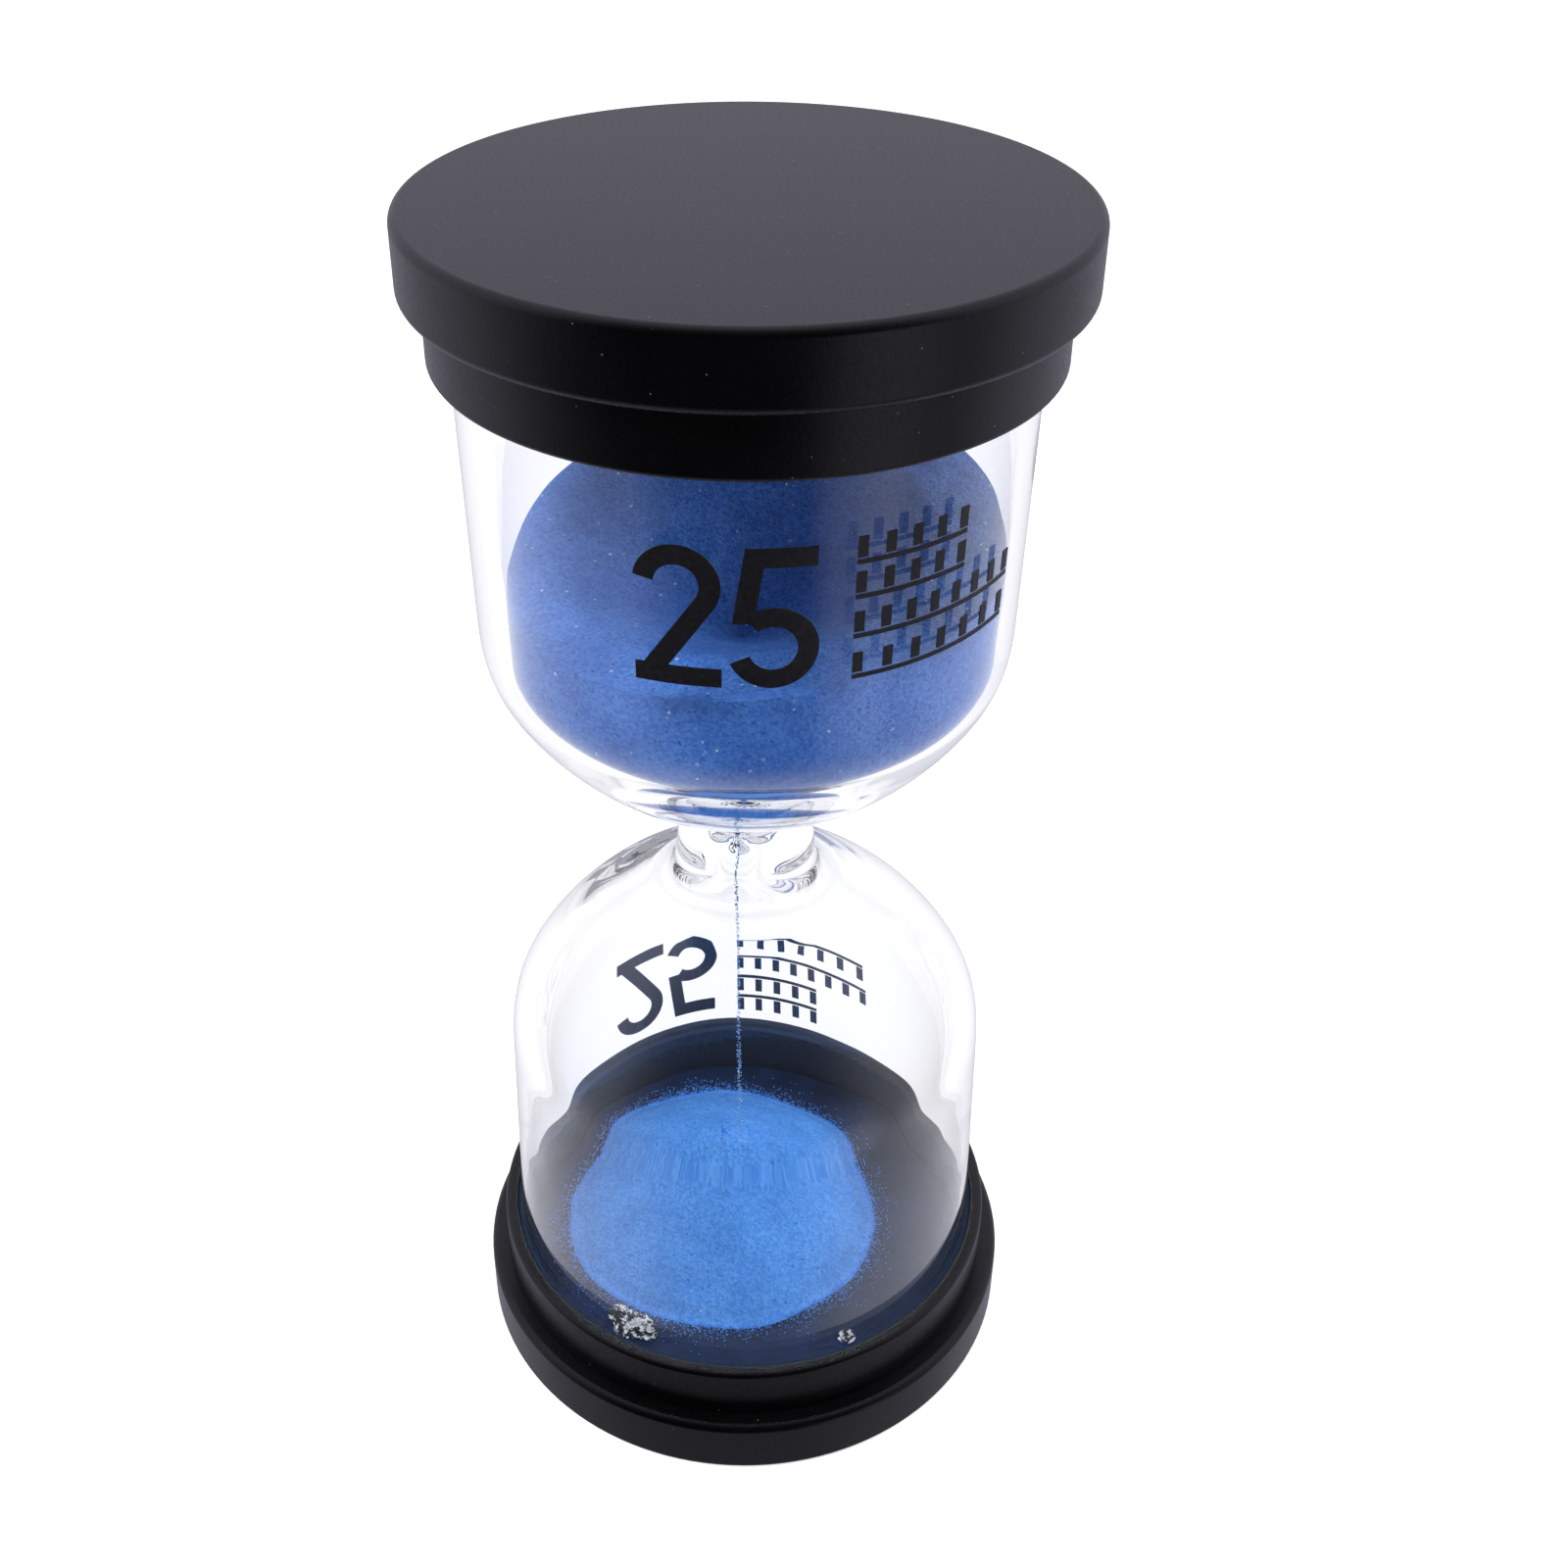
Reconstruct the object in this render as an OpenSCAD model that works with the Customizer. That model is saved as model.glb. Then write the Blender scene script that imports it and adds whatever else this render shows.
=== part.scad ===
// Sand timer: two blown glass bulbs welded at the waist, a moulded cap glued on each end.
// Origin at the centre of the face it stands on, +Z up. Millimetres.

/* [Overall] */
// Height over both end faces
total_h = 130; // [124:0.5:138]
// Diameter of the end flanges
cap_d = 60; // [58:0.5:62]

/* [Caps] */
// Thickness of the flange
flange_t = 6.8; // [6:0.1:8]
// Width of the ledge between the flange and the skirt
ledge_w = 2; // [1.5:0.1:2.5]
// Height of the skirt above the flange
skirt_h = 6.2; // [4:0.1:8]
// Thickness of the skirt around the glass
skirt_wall = 1.45; // [1.2:0.05:1.8]
// Thickness of the end wall under the seal disc
end_wall = 2.4; // [1.6:0.1:3]
// Radius on the outer edges of the flange
edge_r = 0.8; // [0.3:0.1:1.2]
// Radius on the rim of the skirt
rim_r = 0.5; // [0.2:0.1:0.6]

/* [Glass] */
// Adhesive between the skirt and the glass, on the radius
glue_gap = 0.35; // [0.2:0.05:0.5]
// Wall of a bulb along its straight part
rim_wall = 2.1; // [1.8:0.1:2.6]
// How much thinner the lower bulb's wall gets towards its rim
rim_thin = 0.9; // [0:0.1:1]
// How much narrower the radius is at the shoulder than at the rim
taper = 0.75; // [0.3:0.05:1]
// Height of the shoulder above the middle
shoulder_h = 25; // [23:0.5:27]
// Radius of the shoulder
shoulder_r = 11.5; // [10:0.5:12]
// Radius of the underside, between the shoulder and the waist
under_r = 32; // [30:0.5:34]
// Angle that the shoulder turns through before the underside
shoulder_turn = 31; // [28:1:33]
// How far the weld is below the middle of the height
weld_drop = 1.4; // [0:0.1:1.4]
// Diameter of the bead at the weld
bead_d = 14.2; // [13:0.2:16]
// Radius of the bead's own section
bead_r = 2.2; // [1.5:0.1:2.4]
// Radius of the crease over the bead
upper_crease_r = 2.2; // [2:0.1:3]
// Radius of the crease under the bead
lower_crease_r = 6; // [2:0.5:7]

/* [Inside the glass] */
// Diameter of the orifice
orifice_d = 1.1; // [0.8:0.05:1.6]
// Radius of the upper bulb's throat, over the orifice
throat_r = 6; // [3:0.5:13]
// Radius of the upper bulb's inner shoulder
inner_shoulder_r = 8; // [7:0.5:9]
// How far the upper bulb's inner shoulder is below the outer one
inner_drop = 0.8; // [0.4:0.1:1.2]
// Radius of the lower bulb's roof, inside, between the shoulder and the throat
roof_r = 33; // [30:0.5:35]

/* [Sand] */
// Height of the upper sand above the middle, at the glass
sand_level = 33.8; // [28:0.1:40]
// Angle of repose of the sand
repose = 33; // [28:1:36]
// Radius of the pit in the upper sand
pit_r = 18; // [4:0.5:20]
// Radius of the lower pile
pile_r = 18; // [6:0.5:19]
// How far the pile has slid to the left of the axis
pile_left = 2.6; // [0:0.1:2.8]
// How far it has slid to the back
pile_back = 2.6; // [0:0.1:2.8]
// Diameter of the falling stream
stream_d = 0.7; // [0.4:0.05:0.7]

/* [Marks] */
// Height of the numerals
digit_h = 13; // [11:0.5:14]
// Width of a numeral's stroke
stroke_w = 1.75; // [1.4:0.05:2.2]
// Distance of the upper numerals' middle from the middle of the height
upper_mark_at = 39; // [37:0.1:43]
// Distance of the lower numerals' middle from the middle of the height
lower_mark_at = 42.3; // [37:0.1:43]
// Thickness of the ink
ink_t = 0.1; // [0.08:0.01:0.2]
// Angle that the lower mark is turned from the upper one
lower_mark_turn = 21; // [-40:1:40]

/* [Hidden] */
$fn = 96;
ARC_STEP = 5;
EPS = 0.01;
mid = total_h / 2;
flange_r = cap_d / 2;
skirt_r = flange_r - ledge_w;
cap_h = flange_t + skirt_h;
bore_r = skirt_r - skirt_wall;

rim_or = bore_r - glue_gap;
rim_ir = rim_or - rim_wall;
disc_gap = 0.15;
disc_recess = 0.2;
glue_recess = 0.6;
disc_top = flange_t - disc_recess;
rim_w = mid - disc_top;
shoulder_or = rim_or - taper;
taper_a = atan(taper / (rim_w - shoulder_h));
shoulder_ir = rim_ir - taper;
glue_top = cap_h - glue_recess;
sand_gap = 0.04;

// A point at angle a on the circle of radius r about c
function on_circle(c, r, a) = c + r * [cos(a), sin(a)];
// Points along an arc from angle a0 to angle a1
function arc(c, r, a0, a1) =
    let (n = max(1, ceil(abs(a1 - a0) / ARC_STEP)))
    [for (i = [0:n]) on_circle(c, r, a0 + (a1 - a0) * i / n)];
function angle_to(from, to) = atan2(to[1] - from[1], to[0] - from[0]);
// Where the circle r1 about c1 meets the circle r2 about c2, on the right of the way from c1 to c2
function circles_meet(c1, r1, c2, r2) =
    let (d = norm(c2 - c1), u = (c2 - c1) / d, a = (d * d + r1 * r1 - r2 * r2) / (2 * d))
    c1 + a * u + sqrt(r1 * r1 - a * a) * [u[1], -u[0]];

// ---- The glass, as half sections in [radius, distance from the middle of the height] ----
taper_unit = [cos(taper_a), -sin(taper_a)];
shoulder_c = [shoulder_or, shoulder_h] - shoulder_r * taper_unit;
under_c = shoulder_c + (shoulder_r - under_r) * [cos(shoulder_turn), -sin(shoulder_turn)];

// The outer face from the rim to the weld, which is at distance weld, with a crease of radius r
function outer_line(weld, r) =
    let (bead_c = [bead_d / 2 - bead_r, weld],
         crease_c = circles_meet(bead_c, bead_r + r, under_c, under_r + r))
    concat(
        [[rim_or, rim_w]],
        arc(shoulder_c, shoulder_r, -taper_a, -shoulder_turn),
        arc(under_c, under_r, -shoulder_turn, angle_to(under_c, crease_c)),
        arc(crease_c, r, angle_to(crease_c, under_c), angle_to(crease_c, bead_c) + 360),
        arc(bead_c, bead_r, angle_to(bead_c, crease_c), 0));

throat_c = [orifice_d / 2 + throat_r, -weld_drop];
inner_c = [shoulder_ir, shoulder_h - inner_drop] - inner_shoulder_r * taper_unit;
// Slope of the funnel: the line that touches the throat on its left and the shoulder on its right
funnel_a = angle_to(throat_c, inner_c)
    - asin((throat_r + inner_shoulder_r) / norm(inner_c - throat_c));

// The upper bulb's inner face from the orifice up to the rim, moved in by gap: a funnel in thick glass
function funnel_line(gap = 0) = concat(
    arc(throat_c, throat_r + gap, 180, 90 + funnel_a),
    arc(inner_c, inner_shoulder_r - gap, funnel_a - 90, -taper_a),
    [[rim_ir - gap, rim_w]]);

// Radius of the lower bulb's throat: it touches the roof and the orifice
lower_shoulder_ir = shoulder_r - rim_wall;
roof_c = shoulder_c + (lower_shoulder_ir - roof_r) * [cos(shoulder_turn), -sin(shoulder_turn)];
roof_side = orifice_d / 2 - roof_c[0];
roof_rise = roof_c[1] - weld_drop;
lower_throat_r = (roof_side * roof_side + roof_rise * roof_rise - roof_r * roof_r)
    / (2 * (roof_r - roof_side));
lower_throat_c = [orifice_d / 2 + lower_throat_r, weld_drop];
roof_a = angle_to(roof_c, lower_throat_c);

// The lower bulb's inner face from the orifice to the rim: a nearly even wall
function even_line() = concat(
    arc(lower_throat_c, lower_throat_r, 180, roof_a + 180),
    arc(roof_c, roof_r, roof_a, -shoulder_turn),
    arc(shoulder_c, lower_shoulder_ir, -shoulder_turn, -taper_a),
    [[rim_ir + rim_thin, rim_w]]);

// Radius of the outer face at a height above the shoulder
function outer_r(w) = shoulder_or + taper * (w - shoulder_h) / (rim_w - shoulder_h);

module bulb(inner_line, outer_line) {
    rotate_extrude() polygon(concat(inner_line, outer_line));
}

module lower_half() {
    translate([0, 0, mid]) mirror([0, 0, 1]) children();
}

module upper_half() {
    translate([0, 0, mid]) children();
}

module lower_bulb() {
    color([0.86, 0.92, 0.96, 0.35]) lower_half() bulb(even_line(), outer_line(weld_drop, lower_crease_r));
}

module upper_bulb() {
    color([0.86, 0.92, 0.96, 0.35]) upper_half() bulb(funnel_line(), outer_line(-weld_drop, upper_crease_r));
}

// ---- The caps and what seals them, as they stand on the floor ----
module cap() {
    rotate_extrude() polygon(concat(
        [[0, 0]],
        arc([flange_r - edge_r, edge_r], edge_r, -90, 0),
        arc([flange_r - edge_r, flange_t - edge_r], edge_r, 0, 90),
        [[skirt_r, flange_t]],
        arc([skirt_r - rim_r, cap_h - rim_r], rim_r, 0, 90),
        arc([bore_r + rim_r, cap_h - rim_r], rim_r, 90, 180),
        [[bore_r, end_wall], [0, end_wall]]));
}

module seal_disc() {
    translate([0, 0, end_wall]) cylinder(r = bore_r - disc_gap, h = disc_top - end_wall);
}

// The adhesive fills the gap between the skirt and the tapered glass
module adhesive() {
    rotate_extrude() polygon([
        [rim_or, disc_top],
        [bore_r, disc_top],
        [bore_r, glue_top],
        [outer_r(mid - glue_top), glue_top]]);
}

module at_top() {
    translate([0, 0, total_h]) mirror([0, 0, 1]) children();
}

module lower_cap() { color([0.05, 0.05, 0.06]) cap(); }
module upper_cap() { color([0.05, 0.05, 0.06]) at_top() cap(); }
module lower_seal_disc() { color([0.04, 0.04, 0.045]) seal_disc(); }
module upper_seal_disc() { color([0.04, 0.04, 0.045]) at_top() seal_disc(); }
module lower_adhesive() { color([0.8, 0.82, 0.8]) adhesive(); }
module upper_adhesive() { color([0.8, 0.82, 0.8]) at_top() adhesive(); }

// Adhesive squeezed past the rim into the lower bulb: [angle, radius of the lump]
LUMPS = [[-44, 1.5], [-39, 1.8], [-34, 1.5], [34, 1.0]];
lump_inset = 4.4;
lump_ring_r = rim_ir - lump_inset;

module glue_lumps() {
    color([0.8, 0.82, 0.8])
    for (lump = LUMPS)
        rotate([0, 0, lump[0] - 90])
            translate([lump_ring_r, 0, disc_top])
                intersection() {
                    sphere(r = lump[1]);
                    translate([0, 0, lump[1]]) cube(2 * lump[1], center = true);
                }
}

// ---- The sand ----
pit_depth = pit_r * tan(repose);
pile_h = (pile_r - stream_d / 2) * tan(repose);

// The sand fills the upper bulb from the orifice to its level, with a pit over the orifice
module upper_sand() {
    color([0.23, 0.42, 0.74])
    upper_half() rotate_extrude() difference() {
        intersection() {
            polygon(concat([[0, -weld_drop]], funnel_line(sand_gap), [[0, rim_w]]));
            translate([0, -weld_drop]) square([shoulder_or, sand_level + weld_drop]);
        }
        polygon([[0, sand_level - pit_depth], [pit_r, sand_level], [0, sand_level + EPS]]);
    }
}

module pile() {
    translate([-pile_left, pile_back, disc_top]) rotate_extrude()
        polygon([[0, 0], [pile_r, 0], [stream_d / 2, pile_h], [0, pile_h]]);
}

// The stream lands on the side of the pile, which is cut from it
module sand_stream() {
    foot = disc_top + pile_h / 2;
    color([0.35, 0.56, 0.86]) difference() {
        translate([0, 0, foot]) cylinder(d = stream_d, h = mid - weld_drop - foot);
        pile();
    }
}

module lower_sand() { color([0.31, 0.54, 0.86]) pile(); }

// ---- The printed marks: the number of minutes and a scale of one tick for each minute ----
DIGIT_ASPECT = 0.56;
digit_w = digit_h * DIGIT_ASPECT;
// The two's bowl runs from its tip at the left, over the top, to the slanted neck
TWO_TIP = 172;
TWO_NECK = -38;
two_r = (digit_w - stroke_w) / 2;
two_c = [digit_w / 2, digit_h - digit_w / 2];
// Where the slanted neck ends over the foot, in strokes
TWO_FOOT = [0.62, 0.4];
// The five's bowl is a little wider than the numeral, and hangs out on its left
FIVE_SWELL = 1.04;
FIVE_MIDDLE = 0.46;
FIVE_START = 128;
FIVE_TIP = -158;
five_r = (digit_w * FIVE_SWELL - stroke_w) / 2;
five_c = [digit_w * FIVE_MIDDLE, five_r + stroke_w / 2];
// Left side of the five's stem at the top, length of its flag, and height of the stem's foot
STEM_AT = 0.14;
FLAG = 0.8;
STEM_FOOT = 0.47;
// Arc lengths along the glass at the left of each numeral and of the scale
TWO_AT = -9.35;
FIVE_AT = -1.2;
SCALE_AT = 8.9;
// Rows of the scale: [ticks in the row, height above the numerals' foot, pitch]
TICK_ROWS = [[5, 10.8, 2.5], [5, 7.6, 2.5], [8, 3.9, 2.45], [7, 0, 2.8]];
TICK_H = 2.5;
TICK_W = 0.9;
ROW_LINE = 0.4;
TICK_GAP = 0.2;
// How far the band that the numerals are cut from reaches past them
BAND_MARGIN = 1;

// A stroke of even width along a line of points
function ribbon(p, w) =
    let (n = len(p) - 1,
         t = [for (i = [0:n]) let (d = p[min(i + 1, n)] - p[max(i - 1, 0)]) d / norm(d)],
         side = [for (d = t) w / 2 * [-d[1], d[0]]])
    concat([for (i = [0:n]) p[i] + side[i]], [for (i = [n:-1:0]) p[i] - side[i]]);

module numeral_two() {
    polygon(ribbon(concat(arc(two_c, two_r, TWO_TIP, TWO_NECK), [stroke_w * TWO_FOOT]), stroke_w));
    square([digit_w, stroke_w]);
}

module numeral_five() {
    stem_x = digit_w * STEM_AT;
    foot_z = digit_h * STEM_FOOT;
    polygon(ribbon(arc(five_c, five_r, FIVE_START, FIVE_TIP), stroke_w));
    translate([stem_x, digit_h - stroke_w]) square([digit_w * FLAG, stroke_w]);
    polygon([[stem_x, digit_h], [stem_x + stroke_w, digit_h], [stroke_w, foot_z], [0, foot_z]]);
}

// Arc length along the glass at distance level from the middle, as an angle about the axis
function turn_at(s, level) = s / outer_r(level) * 180 / PI;

// A skin of ink on the straight part of a bulb, between two heights, from angle a0 through angle sweep
module ink_band(low, high, a0, sweep) {
    rotate([0, 0, a0 - 90]) rotate_extrude(angle = sweep) polygon([
        [outer_r(low), low],
        [outer_r(low) + ink_t, low],
        [outer_r(high) + ink_t, high],
        [outer_r(high), high]]);
}

// Prints a numeral on the glass, its left side at arc length s and its middle at distance level
module printed(s, level) {
    foot = level - digit_h / 2;
    middle = turn_at(s + digit_w / 2, level);
    reach = turn_at(digit_w, level);
    intersection() {
        ink_band(foot - BAND_MARGIN, foot + digit_h + BAND_MARGIN, middle - reach, 2 * reach);
        rotate([0, 0, middle]) translate([-digit_w / 2, 0, foot])
            rotate([90, 0, 0]) linear_extrude(height = flange_r) children();
    }
}

// A row of the scale: ticks that stand clear of a line under them
module tick_row(row, level) {
    count = row[0];
    pitch = row[2];
    foot = level - digit_h / 2 + row[1];
    tick_foot = foot + ROW_LINE + TICK_GAP;
    line_turn = turn_at((count - 1) * pitch + TICK_W, level);
    ink_band(foot, foot + ROW_LINE, turn_at(SCALE_AT, level), line_turn);
    for (i = [0:count - 1])
        ink_band(tick_foot, foot + TICK_H, turn_at(SCALE_AT + i * pitch, level), turn_at(TICK_W, level));
}

module mark(level) {
    printed(TWO_AT, level) numeral_two();
    printed(FIVE_AT, level) numeral_five();
    for (row = TICK_ROWS) tick_row(row, level);
}

module upper_mark() { color([0.03, 0.03, 0.04]) upper_half() mark(upper_mark_at); }
// The lower mark is the upper one turned over about the X axis, so that it reads when flipped
module lower_mark() {
    color([0.03, 0.03, 0.04])
    translate([0, 0, mid]) rotate([180, 0, 0]) rotate([0, 0, -lower_mark_turn]) mark(lower_mark_at);
}

lower_cap();
upper_cap();
lower_seal_disc();
upper_seal_disc();
lower_adhesive();
upper_adhesive();
glue_lumps();
lower_bulb();
upper_bulb();
upper_sand();
sand_stream();
lower_sand();
upper_mark();
lower_mark();
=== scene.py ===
"""Looks for a 25-minute sand timer: two blown glass bulbs, blue sand and black moulded caps.

Lengths in this script are in millimetres until a mesh is made; MM turns them into metres.
A bulb's profile is in [radius, height above the weld at the waist], as it stands over the weld.
"""

import math
import random

import bpy
from mathutils import Matrix, Vector, noise


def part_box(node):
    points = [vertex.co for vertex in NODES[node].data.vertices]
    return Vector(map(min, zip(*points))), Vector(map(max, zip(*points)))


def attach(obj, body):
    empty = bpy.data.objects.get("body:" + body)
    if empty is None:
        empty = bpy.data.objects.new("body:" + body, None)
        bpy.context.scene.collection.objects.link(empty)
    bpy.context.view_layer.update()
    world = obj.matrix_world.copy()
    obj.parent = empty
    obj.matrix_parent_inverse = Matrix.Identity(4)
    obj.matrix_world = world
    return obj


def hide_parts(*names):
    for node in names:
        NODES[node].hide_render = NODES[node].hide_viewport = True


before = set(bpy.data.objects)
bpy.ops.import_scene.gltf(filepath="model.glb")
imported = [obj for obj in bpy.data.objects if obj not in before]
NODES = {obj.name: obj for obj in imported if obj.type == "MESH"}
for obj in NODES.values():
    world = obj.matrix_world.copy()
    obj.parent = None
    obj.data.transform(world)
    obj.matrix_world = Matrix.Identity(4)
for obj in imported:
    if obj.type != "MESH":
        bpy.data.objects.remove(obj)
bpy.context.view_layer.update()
MM = 0.001

# ---- Sizes that the frame gives ----


def extent(node):
    """A CAD node's lowest and highest corner, in millimetres."""
    low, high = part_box(node)
    return low / MM, high / MM


UPPER_GLASS_HIGH = extent("upper_bulb")[1]
DISC_TOP = extent("lower_seal_disc")[1].z
TOTAL_H = extent("upper_cap")[1].z
MID = TOTAL_H / 2
RIM_OR = UPPER_GLASS_HIGH.x
# The glass stands this far off the seal disc
RIM_LIFT = 0.03
RIM_W = UPPER_GLASS_HIGH.z - MID - RIM_LIFT
PILE_LOW, PILE_HIGH = extent("lower_sand")
PILE_C = (PILE_LOW + PILE_HIGH) / 2
PILE_R = (PILE_HIGH.x - PILE_LOW.x) / 2
STREAM_R = extent("sand_stream")[1].x

# ---- Sizes of the glass, the same as the CAD part's ----

RIM_WALL = 2.1
# How much the outside tapers from the rim to the shoulder
TAPER = 0.75
SHOULDER_H = 25.0
SHOULDER_R = 11.5
# Radius of the domed underside, which meets the shoulder this many degrees down
UNDER_R = 32.0
SHOULDER_TURN = 31.0
# The weld is a little below the middle
WELD_DROP = 1.4
NECK_D = 14.2
NECK_R = 2.2
# Radius of the crease between the neck and each bulb
UPPER_CREASE_R = 2.2
LOWER_CREASE_R = 6.0
ORIFICE_D = 1.1
# The upper bulb is thick over its funnel, and the lower one has a nearly even wall
FUNNEL_THROAT_R = 6.0
FUNNEL_SHOULDER_R = 8.0
# The inner shoulder is this much nearer the waist than the outer one
FUNNEL_DROP = 0.8
# Radius of the lower bulb's dome on the inside
UNDER_IR = 33.0
# The lower bulb's wall is this much thinner at the rim than at the shoulder
RIM_THIN = 0.9
# The upper sand stands this far off the glass
SAND_GAP = 0.04

# The cavities aren't quite on the axis of the glass, as in any blown bulb
CAVITY_SHIFT = 0.4
ORIFICE_SHIFT = -0.6
# Slow waves in the wall, left from blowing
WAVE = 0.05
WAVE_SEED = 5.0
# Glass flows, so every bend is eased over about this length
EASE = 3.0

# ---- Sand ----

# Height of the upper sand's surface, and its rise to the back and to the right
SAND_LEVEL = 98.8
SAND_TILT_BACK = 3.4
SAND_TILT_RIGHT = 1.9
# The angle at which the sand rests, and the radius of the pit in the upper sand
REPOSE = 33.0
PIT_R = 18.5
# Squared radius of the pile's worn tip
WORN_TIP = 2.0
# Grains that rolled off the pile, and how far out most of them lie
STRAY_GRAINS = 6000
STRAY_REACH = 0.75
STREAM_GRAINS = 620
# Whatever lies on the seal disc stands this far off it
FOOT_LIFT = 0.02
# Lumps of adhesive: degrees to the right of the front, and size
LUMPS = [(-45, 1.3), (-42, 1.5), (-39, 1.9), (-36, 1.6), (-33, 1.3), (34, 1.0)]
# How far inside the rim's inner edge they lie
LUMP_INSET = 4.4

# Brightness of the painted glow, in place of light, that a ray meets after it was piped along a wall
PIPED_GLOW_LEVEL = 0.85
PIPED_INK_GLOW_LEVEL = 0.3
PIPED_GLOW_COLOUR = (0.93, 0.94, 1, 1)
# A ray that was bent or mirrored this often was piped along the wall
PIPED_DEPTH = 5

# Points round a bulb or the sand, and degrees from point to point along an arc
SEGMENTS = 288
ARC_STEP = 1.5


def on_circle(c, r, a):
    return Vector((c[0] + r * math.cos(math.radians(a)), c[1] + r * math.sin(math.radians(a))))


def arc(c, r, a0, a1, step=ARC_STEP):
    """Points along an arc from angle a0 to angle a1, in degrees."""
    n = max(2, math.ceil(abs(a1 - a0) / step))
    return [on_circle(c, r, a0 + (a1 - a0) * i / n) for i in range(n + 1)]


def angle_to(a, b):
    return math.degrees(math.atan2(b[1] - a[1], b[0] - a[0]))


def circles_meet(c1, r1, c2, r2):
    """Where two circles meet, on the right of the way from the first centre to the second."""
    d = (c2 - c1).length
    u = (c2 - c1) / d
    a = (d * d + r1 * r1 - r2 * r2) / (2 * d)
    return c1 + a * u + math.sqrt(r1 * r1 - a * a) * Vector((u[1], -u[0]))


def line_points(a, b, spacing):
    """Points from a to b, without a."""
    n = max(1, round((b - a).length / spacing))
    return [a.lerp(b, (i + 1) / n) for i in range(n)]


SHOULDER_OR = RIM_OR - TAPER
RIM_IR = RIM_OR - RIM_WALL
SHOULDER_IR = RIM_IR - TAPER
TAPER_A = math.degrees(math.atan(TAPER / (RIM_W - SHOULDER_H)))
TAPER_UNIT = Vector((math.cos(math.radians(TAPER_A)), -math.sin(math.radians(TAPER_A))))
SHOULDER_C = Vector((SHOULDER_OR, SHOULDER_H)) - SHOULDER_R * TAPER_UNIT
TURN_UNIT = Vector((math.cos(math.radians(SHOULDER_TURN)), -math.sin(math.radians(SHOULDER_TURN))))
UNDER_C = SHOULDER_C + (SHOULDER_R - UNDER_R) * TURN_UNIT


def weld_w(half):
    """Height of the weld in a bulb's profile. half is 1 for the upper bulb, -1 for the lower."""
    return -half * WELD_DROP


def eased(line, reach=EASE, spacing=0.3):
    """The same line in even steps, its bends eased over about reach, its two ends left in place."""
    steps = []
    for a, b in zip(line, line[1:]):
        steps += [a.lerp(b, k / 40) for k in range(40)]
    points, travelled = [line[0]], 0.0
    for a, b in zip(steps, steps[1:] + [line[-1]]):
        travelled += (b - a).length
        if travelled >= spacing:
            points.append(b)
            travelled = 0.0
    points[-1] = line[-1]
    most = round(reach / spacing / 2)
    for _ in range(2):
        smoothed = []
        for i in range(len(points)):
            k = min(most, i, len(points) - 1 - i)
            smoothed.append(sum(points[i - k : i + k + 1], Vector((0, 0))) / (2 * k + 1))
        points = smoothed
    return points


def outer_line(half):
    """The outer face of a bulb, from its rim to the weld."""
    crease_r = UPPER_CREASE_R if half > 0 else LOWER_CREASE_R
    neck_c = Vector((NECK_D / 2 - NECK_R, weld_w(half)))
    crease_c = circles_meet(neck_c, NECK_R + crease_r, UNDER_C, UNDER_R + crease_r)
    rim = Vector((RIM_OR, RIM_W))
    shoulder = arc(SHOULDER_C, SHOULDER_R, -TAPER_A, -SHOULDER_TURN)
    under = arc(UNDER_C, UNDER_R, -SHOULDER_TURN, angle_to(UNDER_C, crease_c))
    crease = arc(crease_c, crease_r, angle_to(crease_c, UNDER_C), angle_to(crease_c, neck_c) + 360, 4)
    neck = arc(neck_c, NECK_R, angle_to(neck_c, crease_c), 0, 2)
    straight = line_points(rim, shoulder[0], 1)
    return eased([rim] + straight + shoulder[1:] + under[1:]) + eased(crease + neck[1:], 0.6, 0.15)[1:]


def funnel_line(gap=0.0):
    """The inner face of the upper bulb, from the orifice up to the rim, moved in by gap."""
    throat_c = Vector((ORIFICE_D / 2 + FUNNEL_THROAT_R, weld_w(1)))
    inner_c = Vector((SHOULDER_IR, SHOULDER_H - FUNNEL_DROP)) - FUNNEL_SHOULDER_R * TAPER_UNIT
    lean = math.asin((FUNNEL_THROAT_R + FUNNEL_SHOULDER_R) / (inner_c - throat_c).length)
    slope = angle_to(throat_c, inner_c) - math.degrees(lean)
    throat = arc(throat_c, FUNNEL_THROAT_R + gap, 180, 90 + slope)
    shoulder = arc(inner_c, FUNNEL_SHOULDER_R - gap, slope - 90, -TAPER_A)
    funnel = line_points(throat[-1], shoulder[0], 0.5)
    straight = line_points(shoulder[-1], Vector((RIM_IR - gap, RIM_W)), 1)
    return eased(throat + funnel + shoulder[1:] + straight)


def even_line():
    """The inner face of the lower bulb, whose wall gets a little thinner towards the throat."""
    shoulder_ir = SHOULDER_R - RIM_WALL
    under_c = SHOULDER_C + (shoulder_ir - UNDER_IR) * TURN_UNIT
    side = ORIFICE_D / 2 - under_c.x
    rise = under_c.y - weld_w(-1)
    throat_r = (side * side + rise * rise - UNDER_IR * UNDER_IR) / (2 * (UNDER_IR - side))
    throat_c = Vector((ORIFICE_D / 2 + throat_r, weld_w(-1)))
    meet = angle_to(under_c, throat_c)
    throat = arc(throat_c, throat_r, 180, meet + 180)
    under = arc(under_c, UNDER_IR, meet, -SHOULDER_TURN)
    shoulder = arc(SHOULDER_C, shoulder_ir, -SHOULDER_TURN, -TAPER_A)
    straight = line_points(shoulder[-1], Vector((RIM_IR + RIM_THIN, RIM_W)), 1)
    return eased(throat + under[1:] + shoulder[1:] + straight)


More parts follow.
